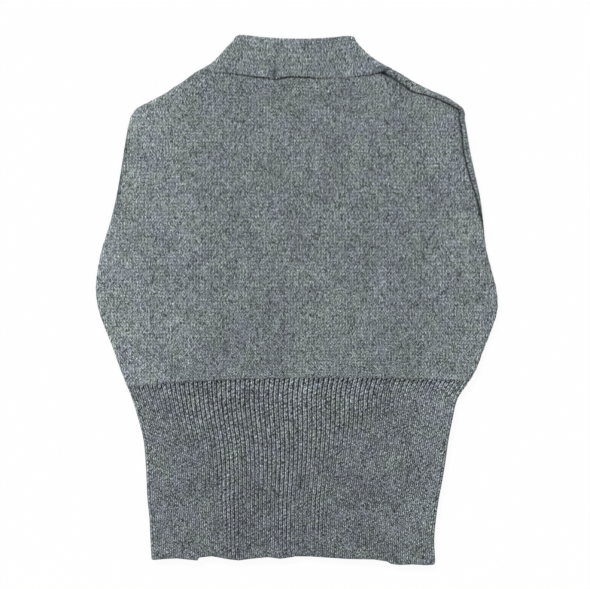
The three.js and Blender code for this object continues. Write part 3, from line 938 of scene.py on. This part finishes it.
class GARMENT_OT_jersey(bpy.types.Operator):
    """Adds the plain-knit back and front"""

    bl_idname = "garment.jersey"
    bl_label = "Back and front"

    def execute(self, context):
        settings = context.scene.garment
        material = knit_material("jersey_knit", settings.jersey_colour)
        back = jersey_panel("back_jersey", BACK, settings.grid_step)
        finish_piece(back, material, "back_body")
        front = jersey_panel("front_jersey", FRONT, settings.grid_step * 1.2)
        finish_piece(front, material, "front_body")
        return {"FINISHED"}


class GARMENT_OT_ribs(bpy.types.Operator):
    """Adds the ribbed lower part, back and front"""

    bl_idname = "garment.ribs"
    bl_label = "Ribs"

    def execute(self, context):
        colour = context.scene.garment.rib_colour
        material = knit_material("rib_knit", colour, width=2.8, slant=0.6, relief=0.0003)
        back = rib_panel("back_ribbing", BACK, (0, 0.08, 0.2, 0.5, 0.8, 0.92), 172)
        finish_piece(back, material, "back_rib")
        front = rib_panel("front_ribbing", FRONT, (0, 0.16, 0.5, 0.84), 140)
        finish_piece(front, material, "front_rib")
        return {"FINISHED"}


class GARMENT_OT_collar(bpy.types.Operator):
    """Adds the doubled neck band"""

    bl_idname = "garment.collar"
    bl_label = "Neck band"

    def execute(self, context):
        material = knit_material("collar_knit", context.scene.garment.collar_colour, contrast=0.85)
        piece = collar_piece("neck_band")
        finish_piece(piece, material, "collar")
        return {"FINISHED"}


class GARMENT_OT_armbands(bpy.types.Operator):
    """Adds the narrow band round each armhole"""

    bl_idname = "garment.armbands"
    bl_label = "Armhole bands"

    def execute(self, context):
        material = knit_material("band_knit", context.scene.garment.band_colour, slant=0.3)
        for side in ("left", "right"):
            piece = armband(f"armband_{side}", side)
            finish_piece(piece, material, f"armhole_band_{side}")
        return {"FINISHED"}


class GARMENT_OT_stage(bpy.types.Operator):
    """Adds the floor, the light and the camera that looks straight down"""

    bl_idname = "garment.stage"
    bl_label = "Stage"

    def execute(self, context):
        scene = context.scene
        mesh = bpy.data.meshes.new("floor")
        half, z = 3.0, -0.0003
        corners = [(-half, -half, z), (half, -half, z), (half, half, z), (-half, half, z)]
        mesh.from_pydata(corners, [], [(0, 1, 2, 3)])
        floor = bpy.data.objects.new("floor", mesh)
        context.collection.objects.link(floor)
        floor.data.materials.append(floor_material())

        world = scene.world or bpy.data.worlds.new("studio")
        scene.world = world
        world.use_nodes = True
        background = world.node_tree.nodes["Background"]
        background.inputs["Color"].default_value = (1, 1, 1, 1)
        background.inputs["Strength"].default_value = context.scene.garment.sky_strength

        lamp = bpy.data.lights.new("slanting_light", "SUN")
        lamp.energy = context.scene.garment.light_strength
        lamp.angle = np.radians(12)  # soft-edged shadows
        light = bpy.data.objects.new("slanting_light", lamp)
        light.rotation_euler = np.radians((-38, -32, 0))  # from the upper left
        context.collection.objects.link(light)

        lens = bpy.data.cameras.new("camera")
        lens.lens, lens.sensor_width, lens.clip_start = 85.0, 36.0, 0.01
        camera = bpy.data.objects.new("camera", lens)
        view_width, aim_x, aim_y, cloth_height = 378.5, -1.0, 3.2, 5.0
        distance = view_width * lens.lens / lens.sensor_width
        camera.location = (aim_x * MM, aim_y * MM, (distance + cloth_height) * MM)
        context.collection.objects.link(camera)
        scene.camera = camera
        scene.view_settings.view_transform = "Standard"
        return {"FINISHED"}


def floor_material():
    """White paper: a diffuse white that the camera sees a little brighter, with its shadow."""
    tree = Tree("white_paper")
    tree.shader.inputs["Base Color"].default_value = (0.9, 0.9, 0.9, 1)
    tree.shader.inputs["Roughness"].default_value = 1.0
    rays = tree.node("ShaderNodeLightPath")
    seen = tree.wire(rays, "Is Camera Ray") + tree.wire(rays, "Is Glossy Ray")
    seen = (seen + tree.wire(rays, "Is Transmission Ray")).math("MINIMUM", 1.0) * 0.93
    glow = tree.node("ShaderNodeEmission", None, {"Color": (1, 1, 1, 1), "Strength": 1.0})
    blend = tree.node("ShaderNodeMixShader", None, {0: seen})
    tree.links.new(tree.shader.outputs[0], blend.inputs[1])
    tree.links.new(glow.outputs[0], blend.inputs[2])
    tree.links.new(blend.outputs[0], tree.nodes["Material Output"].inputs["Surface"])
    return tree.material


class GARMENT_PT_panel(bpy.types.Panel):
    bl_label = "Cat pullover"
    bl_idname = "GARMENT_PT_panel"
    bl_space_type = "VIEW_3D"
    bl_region_type = "UI"
    bl_category = "Garment"

    def draw(self, context):
        for name in GarmentSettings.__annotations__:
            self.layout.prop(context.scene.garment, name)
        for operator in OPERATORS:
            self.layout.operator(operator.bl_idname)


OPERATORS = (
    GARMENT_OT_stage,
    GARMENT_OT_jersey,
    GARMENT_OT_ribs,
    GARMENT_OT_collar,
    GARMENT_OT_armbands,
)
CLASSES = (GarmentSettings, *OPERATORS, GARMENT_PT_panel)


def register():
    for each in CLASSES:
        bpy.utils.register_class(each)
    bpy.types.Scene.garment = bpy.props.PointerProperty(type=GarmentSettings)


def unregister():
    del bpy.types.Scene.garment
    for each in reversed(CLASSES):
        bpy.utils.unregister_class(each)


def main():
    register()
    for operator in OPERATORS:
        group, name = operator.bl_idname.split(".")
        getattr(getattr(bpy.ops, group), name)()


if __name__ == "__main__":
    main()
